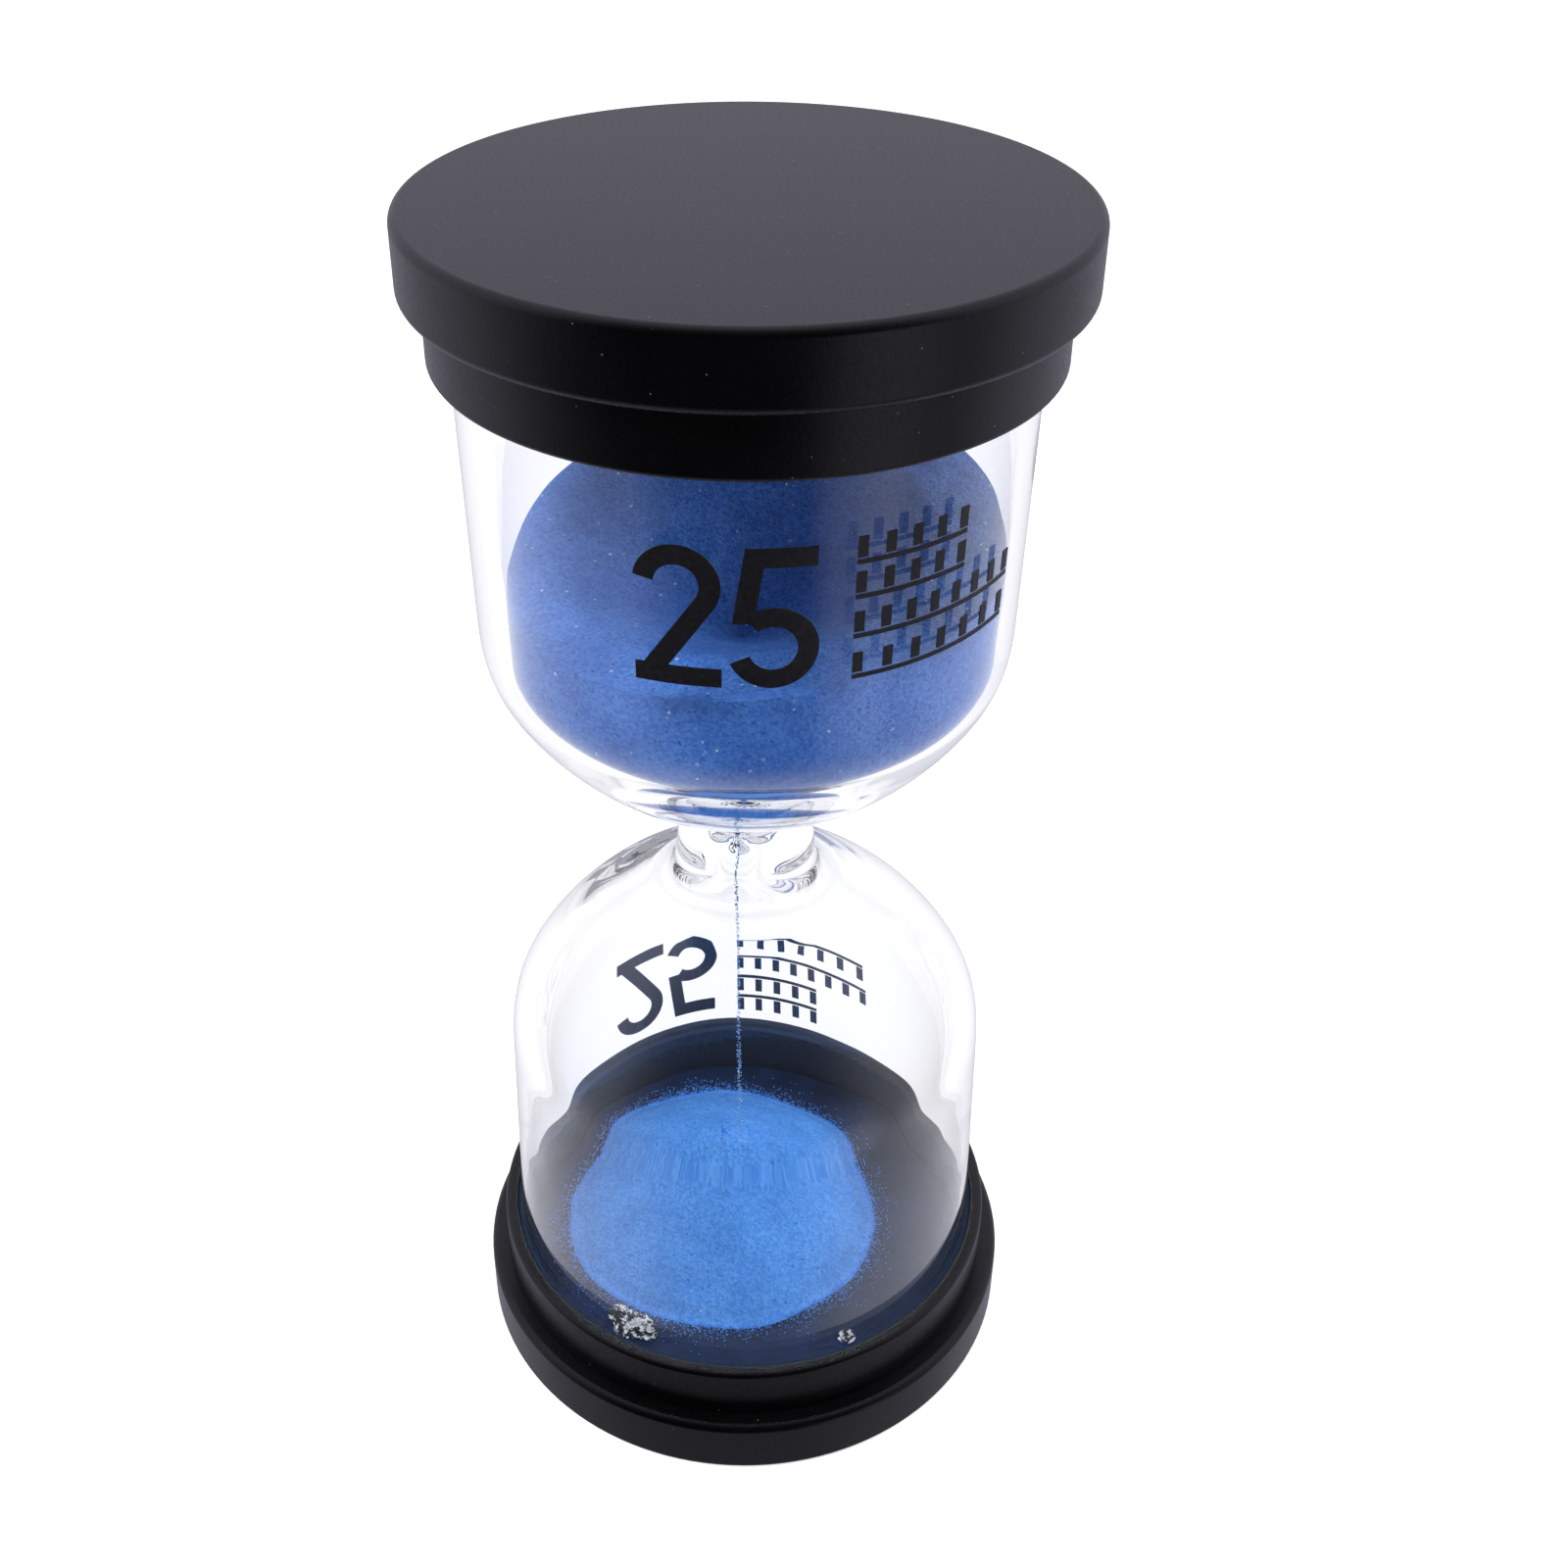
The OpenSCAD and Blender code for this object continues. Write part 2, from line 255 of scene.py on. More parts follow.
def wave(w, a, seed):
    """A slow wave between -1 and 1 over a bulb's face, at height w and angle a."""
    return noise.noise(Vector((1.4 * math.cos(a), 1.4 * math.sin(a), w / 14 + seed)))


def smooth(x, low, high):
    """0 below low and 1 above high, with an S curve between them."""
    t = min(1.0, max(0.0, (x - low) / (high - low)))
    return t * t * (3 - 2 * t)


def cavity_centre(w, half):
    """How far right the cavity's own axis is at height w over the weld."""
    belly = smooth(w, 2, 22)
    side = CAVITY_SHIFT if half > 0 else 0.0
    return ORIFICE_SHIFT * (1 - belly) + side * belly


def inner_point(p, a, half):
    """A point of the inner face at angle a, with the cavity's lean and waves."""
    r = p[0] + WAVE * wave(p[1], a, WAVE_SEED * half) * smooth(p[1], 3, 12)
    return Vector((cavity_centre(p[1], half) + r * math.cos(a), r * math.sin(a), MID + half * p[1]))


def outer_point(p, a, half):
    return Vector((p[0] * math.cos(a), p[0] * math.sin(a), MID + half * p[1]))


# ---- Meshes ----


def new_piece(name, verts, faces, node_names, materials):
    """A piece of the object that stands for CAD nodes. verts are in millimetres."""
    mesh = bpy.data.meshes.new(name)
    mesh.from_pydata([v * MM for v in verts], [], faces)
    mesh.validate()
    for material in materials:
        mesh.materials.append(material)
    obj = bpy.data.objects.new(name, mesh)
    bpy.context.scene.collection.objects.link(obj)
    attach(obj, "root")
    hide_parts(*node_names)
    return obj


def shade_smooth(obj, crease_deg):
    obj.data.polygons.foreach_set("use_smooth", [True] * len(obj.data.polygons))
    obj.data.set_sharp_from_angle(angle=math.radians(crease_deg))


def ring_faces(rings, segments, closed, flip):
    """Quads between rings of vertices that follow each other; closed joins the last to the first."""
    faces = []
    for i in range(rings if closed else rings - 1):
        here, above = i * segments, (i + 1) % rings * segments
        for k in range(segments):
            n = (k + 1) % segments
            quad = (here + k, here + n, above + n, above + k)
            faces.append(quad[::-1] if flip else quad)
    return faces


def close_ends(verts, faces, first, rings, segments, tip, foot):
    """Triangles from the last ring to a point tip, and from the first ring to a point foot."""
    top, base = len(verts), len(verts) + 1
    verts += [tip, foot]
    last = first + (rings - 1) * segments
    for k in range(segments):
        n = (k + 1) % segments
        faces.append((last + k, last + n, top))
        faces.append((first + n, first + k, base))


def angles(segments):
    return [2 * math.pi * k / segments for k in range(segments)]


def make_bulb(name, node, half, materials):
    """A thick bulb: the inner face, the rim, the outer face, and the weld face that closes it."""
    inner, outer = funnel_line() if half > 0 else even_line(), outer_line(half)
    verts = []
    for p in inner:
        verts += [inner_point(p, a, half) for a in angles(SEGMENTS)]
    for p in outer:
        verts += [outer_point(p, a, half) for a in angles(SEGMENTS)]
    rings = len(inner) + len(outer)
    faces = ring_faces(rings, SEGMENTS, True, half > 0)
    bulb = new_piece(name, verts, faces, [node], materials)
    for face in bulb.data.polygons:
        ring = face.index // SEGMENTS
        if ring == rings - 1:
            face.material_index = 1
        elif ring == len(inner) - 1:
            face.material_index = 2
    shade_smooth(bulb, 60)


def make_upper_sand(material):
    """The sand left in the upper bulb, with a pit over the orifice and a tilted surface.

    A column of points goes up the wall at each angle, and then in over the surface to the middle.
    """
    profile = funnel_line(SAND_GAP)
    wall_rings, top_rings = 90, 110
    columns = []
    for a in angles(SEGMENTS):
        level = SAND_LEVEL + SAND_TILT_BACK * math.sin(a) + SAND_TILT_RIGHT * math.cos(a) - MID
        level += 0.12 * noise.noise(Vector((3 * math.cos(a), 3 * math.sin(a), 2)))
        wall = [p for p in profile if p[1] < level]
        above = next(p for p in profile if p[1] >= level)
        wall.append(wall[-1].lerp(above, (level - wall[-1][1]) / (above[1] - wall[-1][1])))
        rows = [0.0]
        for p, q in zip(wall, wall[1:]):
            rows.append(rows[-1] + (q - p).length)
        column = []
        k = 0
        for i in range(wall_rings):
            want = rows[-1] * i / (wall_rings - 1)
            while k < len(rows) - 2 and rows[k + 1] < want:
                k += 1
            p = wall[k].lerp(wall[k + 1], (want - rows[k]) / (rows[k + 1] - rows[k]))
            column.append(inner_point(p, a, 1))
        edge = column[-1]
        for i in range(1, top_rings):
            t = 1 - i / top_rings
            x = (edge.x - ORIFICE_SHIFT) * t
            y = edge.y * t
            column.append(Vector((ORIFICE_SHIFT + x, y, surface_height(x, y, edge.z, t))))
        columns.append(column)
    rings = wall_rings + top_rings - 1
    verts = [columns[k][i] for i in range(rings) for k in range(SEGMENTS)]
    faces = ring_faces(rings, SEGMENTS, False, False)
    foot = Vector((ORIFICE_SHIFT, 0, MID - WELD_DROP))
    pit = Vector((ORIFICE_SHIFT, 0, surface_height(0, 0, SAND_LEVEL, 0)))
    close_ends(verts, faces, 0, rings, SEGMENTS, pit, foot)
    sand = new_piece("upper_sand_grains", verts, faces, ["upper_sand"], [material])
    shade_smooth(sand, 50)


def surface_height(x, y, rim_z, t):
    """Height of the upper sand's surface: even ground by the wall, then the pit, with rills down it.

    x and y are from the middle of the pit, and t goes from 0 there to 1 at the wall.
    """
    r = math.hypot(x, y)
    ground = SAND_LEVEL + SAND_TILT_BACK * y / RIM_IR + SAND_TILT_RIGHT * x / RIM_IR
    ground += (rim_z - ground) * smooth(t, 0.75, 1.0)
    slope = math.tan(math.radians(REPOSE))
    down = max(0.0, PIT_R - r)
    soft_edge = 1.5
    drop = slope * (math.sqrt(down * down + soft_edge * soft_edge) - soft_edge)
    rough = 0.18 * noise.fractal(Vector((x, y, 0)) / 4, 0.7, 2.1, 4) * smooth(1 - t, 0, 0.1)
    rills = 0.1 * noise.noise(Vector((x / (r + 1) * 9, y / (r + 1) * 9, r / 9))) * smooth(down, 0, 6)
    return ground - drop + rough + rills


def make_lower_sand(material):
    """The pile on the lower disc: a cone with a worn tip and a foot that runs out over the disc."""
    rings = 130
    slope = math.tan(math.radians(REPOSE))
    foot_z = DISC_TOP + FOOT_LIFT
    verts = []
    for i in range(rings):
        t = 1 - i / rings
        for a in angles(SEGMENTS):
            edge = PILE_R * (1 + 0.03 * noise.noise(Vector((2 * math.cos(a), 2 * math.sin(a), 7))))
            r = edge * t
            x, y = r * math.cos(a), r * math.sin(a)
            rise = slope * (edge - math.sqrt(r * r + WORN_TIP)) * smooth(1 - t, -0.05, 0.12)
            rise += 0.12 * noise.fractal(Vector((x, y, 3)) / 3, 0.7, 2.1, 4) * smooth(1 - t, 0, 0.1)
            verts.append(Vector((x + PILE_C.x, y + PILE_C.y, foot_z + max(0.0, rise))))
    faces = ring_faces(rings, SEGMENTS, False, False)
    foot = Vector((PILE_C.x, PILE_C.y, foot_z))
    tip = foot + Vector((0, 0, slope * (PILE_R - math.sqrt(WORN_TIP))))
    close_ends(verts, faces, 0, rings, SEGMENTS, tip, foot)
    add_stray_grains(verts, faces)
    sand = new_piece("lower_sand_grains", verts, faces, ["lower_sand"], [material])
    shade_smooth(sand, 50)


def add_stray_grains(verts, faces):
    """Grains that have rolled off the pile's foot, fewer and fewer as they get farther out."""
    rng = random.Random(52)
    for _ in range(STRAY_GRAINS):
        a = 2 * math.pi * rng.random()
        r = PILE_R - 0.5 + rng.expovariate(1 / STRAY_REACH)
        x, y = PILE_C.x + r * math.cos(a), PILE_C.y + r * math.sin(a)
        size = rng.uniform(0.05, 0.1)
        if math.hypot(x, y) < RIM_IR - 0.5:
            add_grain(verts, faces, Vector((x, y, DISC_TOP + FOOT_LIFT + 0.8 * size)), size)


# The icosahedron that each loose grain is
ICO_R = (1 + math.sqrt(5)) / 2
ICO_POINTS = [
    Vector(p).normalized()
    for p in [
        (-1, ICO_R, 0), (1, ICO_R, 0), (-1, -ICO_R, 0), (1, -ICO_R, 0),
        (0, -1, ICO_R), (0, 1, ICO_R), (0, -1, -ICO_R), (0, 1, -ICO_R),
        (ICO_R, 0, -1), (ICO_R, 0, 1), (-ICO_R, 0, -1), (-ICO_R, 0, 1),
    ]
]
ICO_FACES = [
    (0, 11, 5), (0, 5, 1), (0, 1, 7), (0, 7, 10), (0, 10, 11),
    (1, 5, 9), (5, 11, 4), (11, 10, 2), (10, 7, 6), (7, 1, 8),
    (3, 9, 4), (3, 4, 2), (3, 2, 6), (3, 6, 8), (3, 8, 9),
    (4, 9, 5), (2, 4, 11), (6, 2, 10), (8, 6, 7), (9, 8, 1),
]


def add_grain(verts, faces, centre, r):
    """One grain of sand, as a closed icosahedron."""
    first = len(verts)
    verts += [centre + r * p for p in ICO_POINTS]
    faces += [tuple(first + i for i in f) for f in ICO_FACES]


def make_stream(material):
    """The falling grains, from the orifice down to the side of the pile."""
    rng = random.Random(25)
    aside = math.hypot(PILE_C.x - ORIFICE_SHIFT, PILE_C.y)
    foot = DISC_TOP + math.tan(math.radians(REPOSE)) * (PILE_R - aside)
    head = MID - WELD_DROP + 0.8
    verts, faces = [], []
    for _ in range(STREAM_GRAINS):
        z = foot + (head - foot) * rng.random()
        spread = STREAM_R * (0.35 + 0.5 * smooth(head - z, 2, head - foot))
        r = spread * math.sqrt(rng.random())
        a = 2 * math.pi * rng.random()
        x = ORIFICE_SHIFT * (1 - smooth(head - z, 0, 60) * 0.1) + r * math.cos(a)
        add_grain(verts, faces, Vector((x, r * math.sin(a), z)), rng.uniform(0.04, 0.09))
    new_piece("falling_grains", verts, faces, ["sand_stream"], [material])


def make_glue_lumps(material):
    """Crumpled lumps of adhesive squeezed past the rim into the lower bulb."""
    rng = random.Random(3)
    ring_r = RIM_IR - LUMP_INSET
    verts, faces = [], []
    for turn, size in LUMPS:
        a = math.radians(turn - 90)
        r = ring_r + rng.uniform(-0.5, 0.5)
        centre = Vector((r * math.cos(a), r * math.sin(a), DISC_TOP))
        add_lump(verts, faces, centre, size, rng.random() * 50)
    new_piece("glue_crumples", verts, faces, ["glue_lumps"], [material])


def add_lump(verts, faces, centre, size, seed):
    """A half ball, folded all over by ridged noise."""
    rings, segments = 28, 48
    first = len(verts)
    for i in range(rings):
        lift = math.pi / 2 * i / rings
        for k in range(segments):
            a = 2 * math.pi * k / segments
            out = Vector((math.cos(lift) * math.cos(a), math.cos(lift) * math.sin(a), math.sin(lift)))
            fold = 1 - abs(noise.noise(out * 3.1 + Vector((seed, 0, 0)))) * 1.6
            fold += 0.22 * noise.noise(out * 9 + Vector((0, seed, 0)))
            p = centre + out * size * (0.55 + 0.45 * fold)
            verts.append(Vector((p.x, p.y, DISC_TOP + FOOT_LIFT) if i == 0 else p))
    for i, j, k in [(i, k, (k + 1) % segments) for i in range(rings - 1) for k in range(segments)]:
        low, high = first + i * segments, first + (i + 1) * segments
        faces.append((low + j, low + k, high + k, high + j))
    foot = Vector((centre.x, centre.y, DISC_TOP + FOOT_LIFT))
    close_ends(verts, faces, first, rings, segments, centre + Vector((0, 0, size * 0.9)), foot)


# ---- Materials ----


class Shader:
    """A material's node tree, with short ways to add nodes."""

    def __init__(self, name):
        self.material = bpy.data.materials.new(name)
        self.material.use_nodes = True
        self.tree = self.material.node_tree
        self.tree.nodes.clear()
        self.output = self.tree.nodes.new("ShaderNodeOutputMaterial")

    def add(self, kind, values=None, links=None, **settings):
        """A node of that kind. values set its sockets, links join its sockets to others' outputs."""
        node = self.tree.nodes.new(kind)
        for key, value in settings.items():
            setattr(node, key, value)
        for key, value in (values or {}).items():
            node.inputs[key].default_value = value
        for key, source in (links or {}).items():
            self.tree.links.new(source, node.inputs[key])
        return node

    def show(self, shader):
        self.tree.links.new(shader.outputs[0], self.output.inputs["Surface"])
        return self.material

    def coords(self):
        return self.add("ShaderNodeTexCoord").outputs["Object"]

    def noise(self, per_mm, detail=2.0, roughness=0.5):
        """Noise whose blobs are about 1/per_mm across."""
        values = {"Scale": per_mm / MM, "Detail": detail, "Roughness": roughness}
        return self.add("ShaderNodeTexNoise", values, {"Vector": self.coords()}).outputs["Fac"]

    def cells(self, size_mm):
        """Voronoi cells of about that size: one node with Distance and Color outputs."""
        values = {"Scale": 1 / (size_mm * MM)}
        return self.add("ShaderNodeTexVoronoi", values, {"Vector": self.coords()})

    def ramp(self, source, low, high, to_low=0.0, to_high=1.0):
        values = {"From Min": low, "From Max": high, "To Min": to_low, "To Max": to_high}
        return self.add("ShaderNodeMapRange", values, {"Value": source}).outputs["Result"]

    def mix(self, fac, a, b):
        """A colour between a and b, each a colour or another node's output."""
        node = self.add("ShaderNodeMix", data_type="RGBA")
        for socket, value in ((node.inputs[0], fac), (node.inputs[6], a), (node.inputs[7], b)):
            if isinstance(value, bpy.types.NodeSocket):
                self.tree.links.new(value, socket)
            else:
                socket.default_value = value if isinstance(value, float) else (*value, 1.0)
        return node.outputs[2]

    def bump(self, height, strength, distance_mm):
        values = {"Strength": strength, "Distance": distance_mm * MM}
        return self.add("ShaderNodeBump", values, {"Height": height}).outputs["Normal"]


def cap_plastic():
    """Black moulded plastic with a fine satin texture, a little uneven, and a few specks of dust."""
    s = Shader("cap_plastic_satin")
    fine = s.noise(3.2, 3.0, 0.6)
    broad = s.noise(0.12, 2.0)
    dust = s.ramp(s.cells(1.7).outputs["Distance"], 0.05, 0.03)
    colour = s.mix(s.ramp(broad, 0.3, 0.7), (0.001, 0.001, 0.0013), (0.002, 0.002, 0.0025))
    colour = s.mix(s.ramp(dust, 0.0, 1.0, 0.0, 0.5), colour, (0.25, 0.25, 0.26))
    rough = s.ramp(fine, 0.3, 0.7, 0.26, 0.38)
    values = {"Specular IOR Level": 0.5}
    links = {"Base Color": colour, "Roughness": rough, "Normal": s.bump(fine, 0.25, 0.05)}
    return s.show(s.add("ShaderNodeBsdfPrincipled", values, links))


def seal_rubber():
    """Matte black rubber with a film of blue sand dust."""
    s = Shader("seal_rubber_matte")
    fine = s.noise(2.0, 4.0, 0.6)
    colour = s.mix(s.ramp(s.noise(0.25, 3.0), 0.35, 0.7), (0.004, 0.013, 0.042), (0.009, 0.024, 0.08))
    links = {"Base Color": colour, "Normal": s.bump(fine, 0.3, 0.06)}
    values = {"Roughness": 0.6, "Specular IOR Level": 0.4}
    return s.show(s.add("ShaderNodeBsdfPrincipled", values, links))


def adhesive_ring():
    """Adhesive over the black skirt: dark, with small voids, and a painted glow in place of light piped
    along the glass.
    """
    s = Shader("adhesive_ring_dark")
    voids = s.ramp(s.cells(0.9).outputs["Distance"], 0.25, 0.1)
    colour = s.mix(s.ramp(voids, 0, 1, 0, 0.5), (0.015, 0.025, 0.045), (0.035, 0.05, 0.075))
    values = {"Roughness": 0.4, "Specular IOR Level": 0.12, "Emission Color": PIPED_GLOW_COLOUR}
    links = {"Base Color": colour, "Normal": s.bump(s.noise(0.9, 2.0), 0.4, 0.1)}
    links["Emission Strength"] = painted_piped_glow(s, PIPED_GLOW_LEVEL)
    return s.show(s.add("ShaderNodeBsdfPrincipled", values, links))


def lamp_rays(s):
    """1 for the rays that carry lamp light and soft light through clear pieces, otherwise 0."""
    path = s.add("ShaderNodeLightPath")
    links = {0: path.outputs["Is Shadow Ray"], 1: path.outputs["Is Diffuse Ray"]}
    return s.add("ShaderNodeMath", None, links, operation="MAXIMUM").outputs[0]


def clear_glass():
    """Clear polished glass with faint ripples; lamps shine through it."""
    s = Shader("bulb_glass_clear")
    ripple = s.bump(s.noise(0.09, 1.0), 0.12, 0.4)
    values = {"Base Color": (0.993, 0.992, 0.999, 1), "Roughness": 0.0, "IOR": 1.5}
    values["Transmission Weight"] = 1.0
    glass = s.add("ShaderNodeBsdfPrincipled", values, {"Normal": ripple})
    clear = s.add("ShaderNodeBsdfTransparent", {"Color": (0.97, 0.975, 0.985, 1)})
    links = {0: lamp_rays(s), 1: glass.outputs[0], 2: clear.outputs[0]}
    return s.show(s.add("ShaderNodeMixShader", None, links))


def weld_face():
    """The weld between the two bulbs: the glass is one body there, so nothing shows."""
    s = Shader("weld_clear")
    return s.show(s.add("ShaderNodeBsdfTransparent", {"Color": (1, 1, 1, 1)}))


def painted_piped_glow(s, level):
    """Painted glow, in place of light, for the rays that were piped along the glass, which stays clear
    right down to its rim.
    """
    path = s.add("ShaderNodeLightPath").outputs
    piped = s.ramp(path["Ray Depth"], PIPED_DEPTH - 1, PIPED_DEPTH, 0.0, level)
    sharp = s.ramp(path["Is Diffuse Ray"], 0.0, 1.0, 1.0, 0.0)
    return s.add("ShaderNodeMath", None, {0: piped, 1: sharp}, operation="MULTIPLY").outputs[0]


def ground_rim():
    """The ground rim of a bulb, bedded in adhesive: dark, with a painted glow in place of light piped
    along the wall.
    """
    s = Shader("rim_ground")
    values = {"Base Color": (0.006, 0.01, 0.02, 1), "Roughness": 0.6, "Specular IOR Level": 0.1}
    values["Emission Color"] = PIPED_GLOW_COLOUR
    links = {"Emission Strength": painted_piped_glow(s, PIPED_GLOW_LEVEL)}
    return s.show(s.add("ShaderNodeBsdfPrincipled", values, links))


def crinkled_glue():
    """Crinkled adhesive: dark folds, with painted pale glints along the creases, under a glossy coat."""
    s = Shader("adhesive_crumpled")
    creases = s.noise(1.1, 2.0, 0.6)
    # Painted glint: near-white colour along the crease ridges, standing in for highlights
    painted_glint = s.ramp(creases, 0.5, 0.56)
    colour = s.mix(painted_glint, (0.02, 0.025, 0.035), (0.85, 0.88, 0.92))
    values = {"Roughness": 0.08, "IOR": 1.48, "Coat Weight": 1.0, "Coat Roughness": 0.03}
    links = {"Base Color": colour, "Normal": s.bump(creases, 1.0, 0.4)}
    glue = s.add("ShaderNodeBsdfPrincipled", values, links)
    clear = s.add("ShaderNodeBsdfTransparent", {"Color": (0.9, 0.92, 0.94, 1)})
    links = {0: lamp_rays(s), 1: glue.outputs[0], 2: clear.outputs[0]}
    return s.show(s.add("ShaderNodeMixShader", None, links))


def blue_sand(name, body, pale, deep, painted_glint_share):
    """Dyed sand: every grain has its own shade; a few have a painted pale glint on a really glossier
    face, and a few are dark.
    """
    s = Shader(name)
    grains = s.cells(0.26)
    shade = s.add("ShaderNodeSeparateColor", None, {0: grains.outputs["Color"]})
    colour = s.mix(s.ramp(shade.outputs[0], 0.0, 1.0), body, pale)
    colour = s.mix(s.ramp(shade.outputs[1], 0.97, 1.0, 0.0, 0.8), colour, deep)
    # A few grains get a painted pale highlight, along with a real lower roughness and more specular
    painted_glint = s.ramp(shade.outputs[2], 1 - painted_glint_share, 1 - painted_glint_share + 0.004)
    colour = s.mix(painted_glint, colour, (0.75, 0.85, 0.95))
    colour = s.mix(s.ramp(s.noise(0.16, 3.0), 0.35, 0.65, 0.0, 0.3), colour, deep)
    rough = s.ramp(painted_glint, 0.0, 1.0, 0.75, 0.2)
    links = {"Base Color": colour, "Roughness": rough}
    links["Normal"] = s.bump(grains.outputs["Distance"], 0.5, 0.12)
    links["Specular IOR Level"] = s.ramp(painted_glint, 0.0, 1.0, 0.02, 0.5)
    return s.show(s.add("ShaderNodeBsdfPrincipled", None, links))


def black_ink():
    """Screen-printed black ink, thinner in spots, with a painted grey glow where it is seen along the
    wall.
    """
    s = Shader("black_ink_print")
    thin = s.ramp(s.noise(2.5, 3.0), 0.35, 0.75)
    colour = s.mix(thin, (0.006, 0.006, 0.008), (0.014, 0.014, 0.018))
    values = {"Roughness": 0.42, "Emission Color": PIPED_GLOW_COLOUR}
    links = {"Base Color": colour, "Normal": s.bump(thin, 0.2, 0.02)}
    links["Emission Strength"] = painted_piped_glow(s, PIPED_INK_GLOW_LEVEL)
    return s.show(s.add("ShaderNodeBsdfPrincipled", values, links))


def floor_white():
    """Plain pale floor with the faintest unevenness."""
    s = Shader("floor_white")
    colour = s.mix(s.noise(0.02, 2.0), (0.93, 0.93, 0.93), (0.96, 0.96, 0.96))
    diffuse = s.add("ShaderNodeBsdfDiffuse", None, {"Color": colour})
    glow = s.add("ShaderNodeEmission", {"Color": (1, 1, 1, 1), "Strength": 0.6})
    return s.show(s.add("ShaderNodeAddShader", None, {0: diffuse.outputs[0], 1: glow.outputs[0]}))


def dress(node, material):
    """Gives a CAD node a better material."""
    for slot in NODES[node].material_slots:
        slot.material = material


# ---- Stage ----

# Brightness of the studio as the object mirrors it: above, below, and the share left in front
SKY_LEVEL = 0.62
LOW_LEVEL = 0.5
FRONT_DARK = 0.03
FRONT_UP_DARK = 0.15
# What it mirrors from low in front, and from a window in front on the right
LOW_FRONT = 0.3
WINDOW_LEVEL = 0.5
# Brightness of the soft light all round, and in front and above
SOFT_LEVEL = 0.76
SOFT_FRONT = 0.18
# Brightness beside the object and behind it, as the glass bends it into view
SIDE_LEVEL = 0.99
BEHIND_LEVEL = 1.17


def make_floor():
    """A wide floor, a hair under the object's foot."""
    half = 4.0
    corners = [(-half, -half, 0), (half, -half, 0), (half, half, 0), (-half, half, 0)]
    mesh = bpy.data.meshes.new("floor")
    mesh.from_pydata(corners, [], [(0, 1, 2, 3)])
    mesh.materials.append(floor_white())
    floor = bpy.data.objects.new("floor", mesh)
    bpy.context.scene.collection.objects.link(floor)
    floor.location.z = -0.02 * MM
    floor.visible_glossy = False
    floor.visible_diffuse = False
    floor.visible_transmission = False


def make_world():
    """White around the object; mirrored rays see a studio that is bright above and dark in front."""
    world = bpy.data.worlds.new("studio")
    bpy.context.scene.world = world
    world.use_nodes = True
    world.cycles.sampling_method = "NONE"
    tree = world.node_tree
    tree.nodes.clear()

    def add(kind, values=None, links=None, **settings):
        node = tree.nodes.new(kind)
        for key, value in settings.items():
            setattr(node, key, value)
        for key, value in (values or {}).items():
            node.inputs[key].default_value = value
        for key, source in (links or {}).items():
            tree.links.new(source, node.inputs[key])
        return node

    way = add("ShaderNodeTexCoord").outputs["Generated"]

    def toward(direction, low, high, to_low, to_high):
        """A value that goes from to_low to to_high as a ray turns towards a direction."""
        unit = Vector(direction).normalized()
        dot = add("ShaderNodeVectorMath", {1: unit}, {0: way}, operation="DOT_PRODUCT")
        values = {"From Min": low, "From Max": high, "To Min": to_low, "To Max": to_high}
        links = {"Value": dot.outputs["Value"]}
        eased_range = add("ShaderNodeMapRange", values, links, interpolation_type="SMOOTHSTEP")
        return eased_range.outputs["Result"]

    def product(a, b):
        return add("ShaderNodeMath", None, {0: a, 1: b}, operation="MULTIPLY").outputs[0]

    def total(a, b):
        return add("ShaderNodeMath", None, {0: a, 1: b}, operation="ADD").outputs[0]

    def light(colour, strength):
        return add("ShaderNodeBackground", {"Color": (*colour, 1)}, {"Strength": strength}).outputs[0]

    def choose(fac, a, b):
        return add("ShaderNodeMixShader", None, {0: fac, 1: a, 2: b}).outputs[0]

    # What the black plastic and the glass mirror
    sky = toward((0, 0, 1), -0.3, 0.35, LOW_LEVEL, SKY_LEVEL)
    front = toward((0, -1, -0.35), -0.1, 0.75, 1.0, FRONT_DARK)
    front_up = toward((0, -1, 0.6), 0.3, 0.9, 1.0, FRONT_UP_DARK)
    below = toward((0, 0, -1), 0.65, 0.85, 0.0, LOW_FRONT)
    low = product(below, toward((0, -1, 0), -0.1, 0.3, 0.0, 1.0))
    window = toward((0.65, -0.65, -0.39), 0.93, 0.985, 0.0, WINDOW_LEVEL)
    dimmed_sky = product(product(sky, front), front_up)
    mirrored = light((0.95, 0.93, 1.12), total(dimmed_sky, total(low, window)))
    # What lights the sand and the plastic softly
    soft = light((0.97, 0.98, 1.03), toward((0, -1, 0.9), 0.1, 0.85, SOFT_LEVEL, SOFT_FRONT))
    # What shows through the glass: white behind it, a little dimmer at the sides, dark in front
    behind = toward((0, 0.83, -0.56), -0.2, 0.85, SIDE_LEVEL, BEHIND_LEVEL)
    before = toward((0, -1, -0.3), 0.6, 0.93, 1.0, FRONT_DARK)
    through = light((0.985, 0.985, 1.0), product(product(behind, before), front_up))
    white = add("ShaderNodeBackground", {"Color": (1, 1, 1, 1), "Strength": 1.0}).outputs[0]
    path = add("ShaderNodeLightPath").outputs
    seen = choose(path["Is Diffuse Ray"], mirrored, soft)
    seen = choose(path["Is Transmission Ray"], seen, through)
    seen = choose(path["Is Camera Ray"], seen, white)
    add("ShaderNodeOutputWorld", None, {"Surface": seen})


def make_lamp(name, location, size, power):
    """A softbox aimed at the middle of the object."""
    data = bpy.data.lights.new(name, "AREA")
    data.shape = "DISK"
    data.size = size
    data.energy = power
    lamp = bpy.data.objects.new(name, data)
    bpy.context.scene.collection.objects.link(lamp)
    lamp.location = location
    aim = Vector((0, 0, MID * MM)) - Vector(location)
    lamp.rotation_euler = aim.to_track_quat("-Z", "Y").to_euler()
    lamp.visible_camera = False
    lamp.visible_glossy = False
    lamp.visible_transmission = False


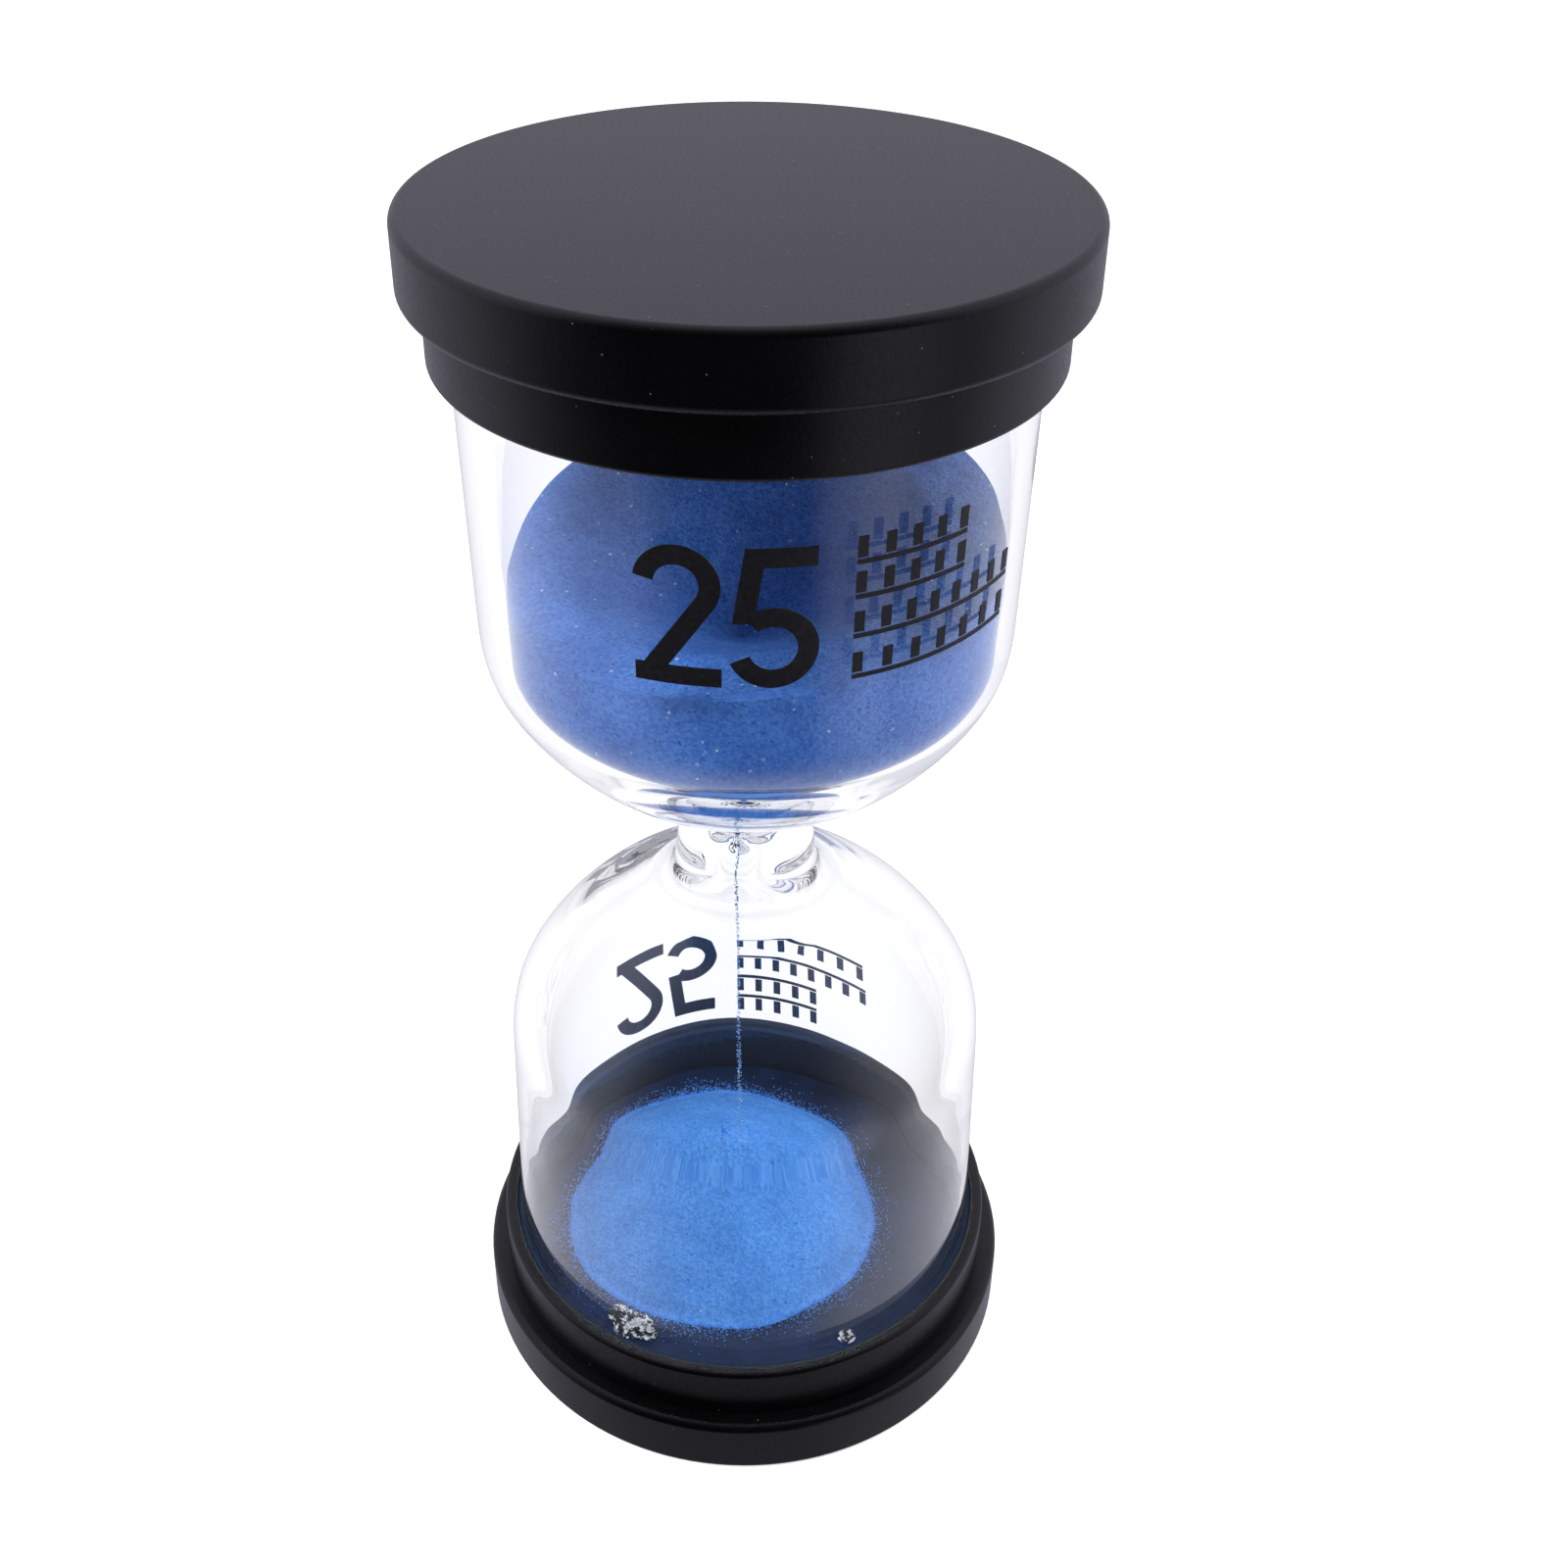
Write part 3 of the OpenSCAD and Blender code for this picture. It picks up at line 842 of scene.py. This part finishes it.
def make_camera():
    """The camera stands in front of the object and looks down on it."""
    data = bpy.data.cameras.new("camera")
    data.sensor_width = 36
    data.lens = 43.23
    data.shift_x = 0.0241
    data.shift_y = -0.0261
    data.clip_start = 0.01
    camera = bpy.data.objects.new("camera", data)
    bpy.context.scene.collection.objects.link(camera)
    camera.location = (0, -0.1566, 0.1795)
    pitch = Matrix.Rotation(math.radians(56.27), 3, "X")
    roll = Matrix.Rotation(math.radians(0.25), 3, "Z")
    camera.rotation_euler = (pitch @ roll).to_euler()
    bpy.context.scene.camera = camera


def set_renderer():
    """Plain colours, and bounces enough for light piped along thick glass."""
    scene = bpy.context.scene
    scene.view_settings.view_transform = "Standard"
    scene.view_settings.look = "None"
    cycles = scene.cycles
    cycles.use_denoising = True
    cycles.max_bounces = 40
    cycles.transmission_bounces = 40
    cycles.glossy_bounces = 40
    cycles.diffuse_bounces = 4
    cycles.transparent_max_bounces = 32
    cycles.caustics_reflective = False
    cycles.caustics_refractive = False
    cycles.blur_glossy = 0.2


# ---- The object ----

glass = clear_glass()
weld = weld_face()
rim = ground_rim()
# Each sand's body, pale and deep colours, and the share of its grains that get a painted glint. All
# three are one sand: the pile's colours are painted brighter and the falling grains' paler, in place of
# how each is lit.
UPPER_SAND = ((0.05, 0.17, 0.62), (0.12, 0.29, 0.78), (0.02, 0.075, 0.34), 0.004)
PILE_SAND_PAINTED_LIT = ((0.062, 0.25, 0.73), (0.14, 0.38, 0.86), (0.03, 0.12, 0.45), 0.001)
FALLING_SAND_PAINTED_LIT = ((0.16, 0.36, 0.75), (0.3, 0.5, 0.85), (0.1, 0.25, 0.6), 0.05)
sand = blue_sand("blue_sand_grains", *UPPER_SAND)
pile_sand_painted_lit = blue_sand("blue_sand_pile_painted_lit", *PILE_SAND_PAINTED_LIT)
stream_sand_painted_lit = blue_sand("blue_sand_falling_painted_lit", *FALLING_SAND_PAINTED_LIT)
ink = black_ink()

make_bulb("upper_glass", "upper_bulb", 1, [glass, weld, rim])
make_bulb("lower_glass", "lower_bulb", -1, [glass, weld, rim])
make_upper_sand(sand)
make_lower_sand(pile_sand_painted_lit)
make_stream(stream_sand_painted_lit)
make_glue_lumps(crinkled_glue())

plastic, rubber, ring = cap_plastic(), seal_rubber(), adhesive_ring()
for end in ("lower", "upper"):
    dress(end + "_cap", plastic)
    dress(end + "_seal_disc", rubber)
    dress(end + "_adhesive", ring)
    dress(end + "_mark", ink)

make_floor()
make_world()
make_lamp("front_left", (-0.33, -0.3, 0.75), 0.3, 4.5)
make_lamp("right", (0.52, 0.0, 0.33), 0.35, 1.9)
make_camera()
set_renderer()
